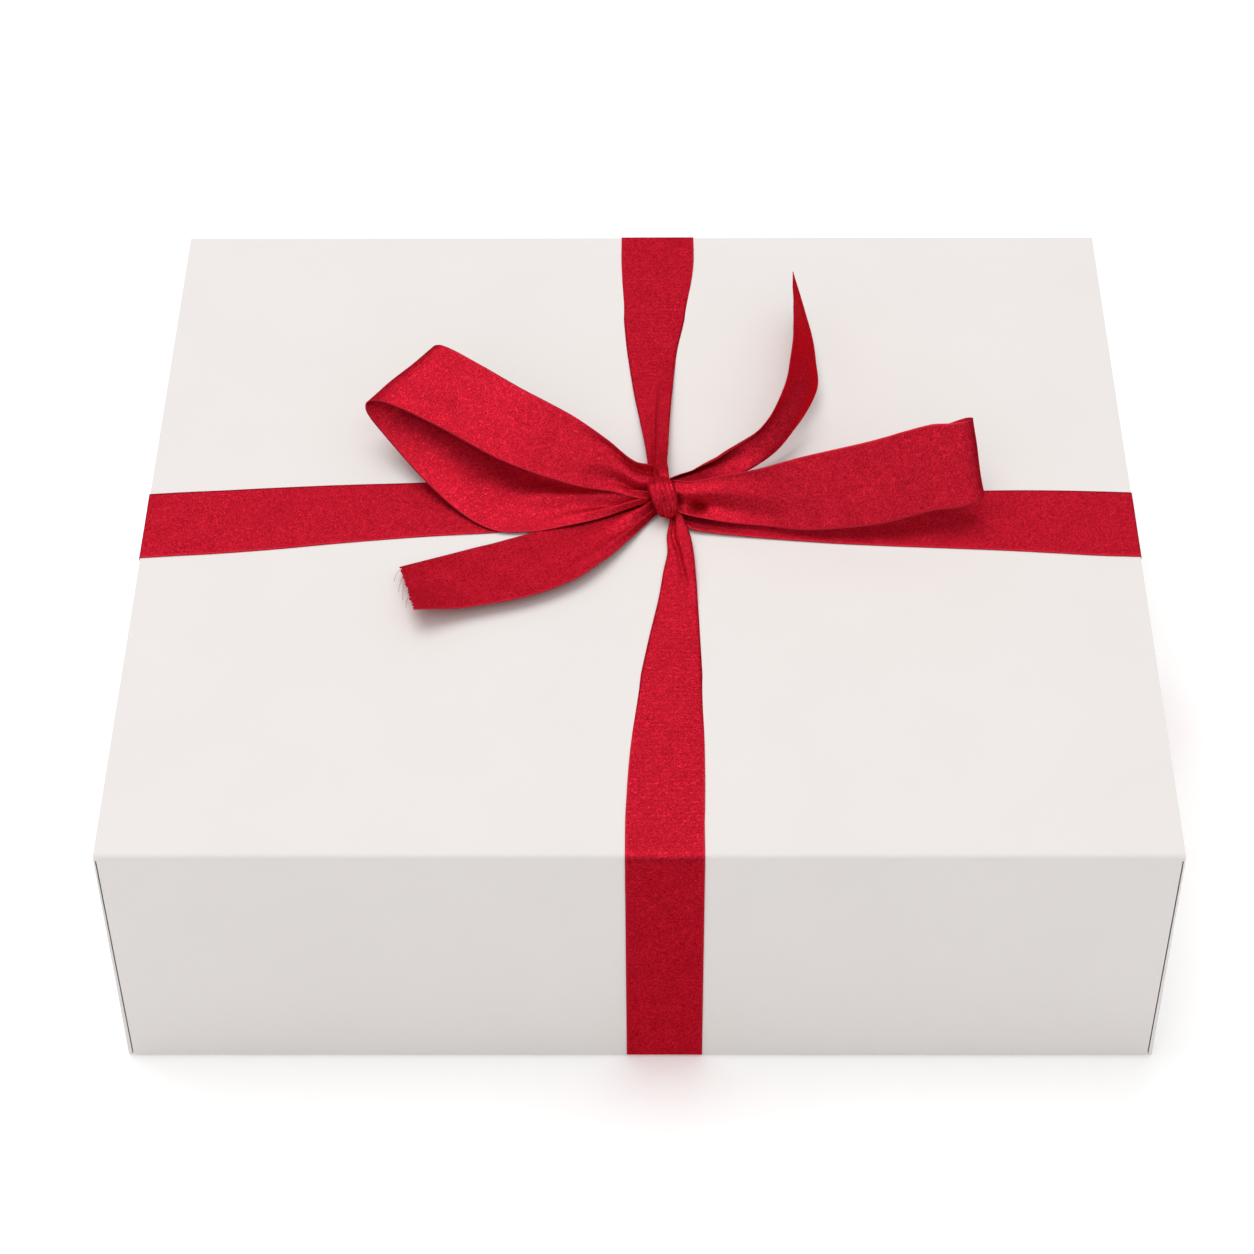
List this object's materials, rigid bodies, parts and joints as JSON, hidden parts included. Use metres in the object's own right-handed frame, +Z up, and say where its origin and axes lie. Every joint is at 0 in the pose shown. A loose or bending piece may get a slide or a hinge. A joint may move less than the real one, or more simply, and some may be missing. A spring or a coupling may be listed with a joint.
{
  "type": "gift box",
  "caption": "White paper-covered gift box with a full-depth lift-off lid and a red satin ribbon tied in a bow on top.",
  "frame": {"origin": "middle of the tray's underside, on the surface that it stands on", "axes": "+X along the box's longer side, to the right seen from the front; +Y from the front to the back; +Z up"},
  "size_m": [0.3408, 0.3086, 0.1339],
  "materials": {
    "white_cover_paper": "smooth uncoated",
    "lining_paper": "matt",
    "greyboard": "matt",
    "kraft_tape": "matt",
    "red_satin_ribbon": "satin",
    "clear_tape": "gloss"
  },
  "bodies": {
    "tray": {"tray_bottom_board": "greyboard", "tray_front_board": "greyboard", "tray_back_board": "greyboard", "tray_left_board": "greyboard", "tray_right_board": "greyboard", "tray_corner_stays": "kraft_tape", "tray_cover_paper": "white_cover_paper", "tray_base_paper": "white_cover_paper", "tray_lining": "lining_paper"},
    "lid": {"lid_top_board": "greyboard", "lid_front_board": "greyboard", "lid_back_board": "greyboard", "lid_left_board": "greyboard", "lid_right_board": "greyboard", "lid_corner_stays": "kraft_tape", "lid_main_paper": "white_cover_paper", "lid_left_paper": "white_cover_paper", "lid_right_paper": "white_cover_paper", "lid_lining": "lining_paper", "front_strap": "red_satin_ribbon", "back_strap": "red_satin_ribbon", "left_strap": "red_satin_ribbon", "right_strap": "red_satin_ribbon", "strap_tapes": "clear_tape", "bow_knot": "red_satin_ribbon", "bow_left_loop": "red_satin_ribbon", "bow_right_loop": "red_satin_ribbon", "bow_left_tail": "red_satin_ribbon", "bow_right_tail": "red_satin_ribbon"}
  },
  "joints": [
    {"name": "lid_lift", "type": "slide", "parent": "tray", "child": "lid", "axis": [0, 0, 1], "range_m": [0, 0.15]}
  ]
}
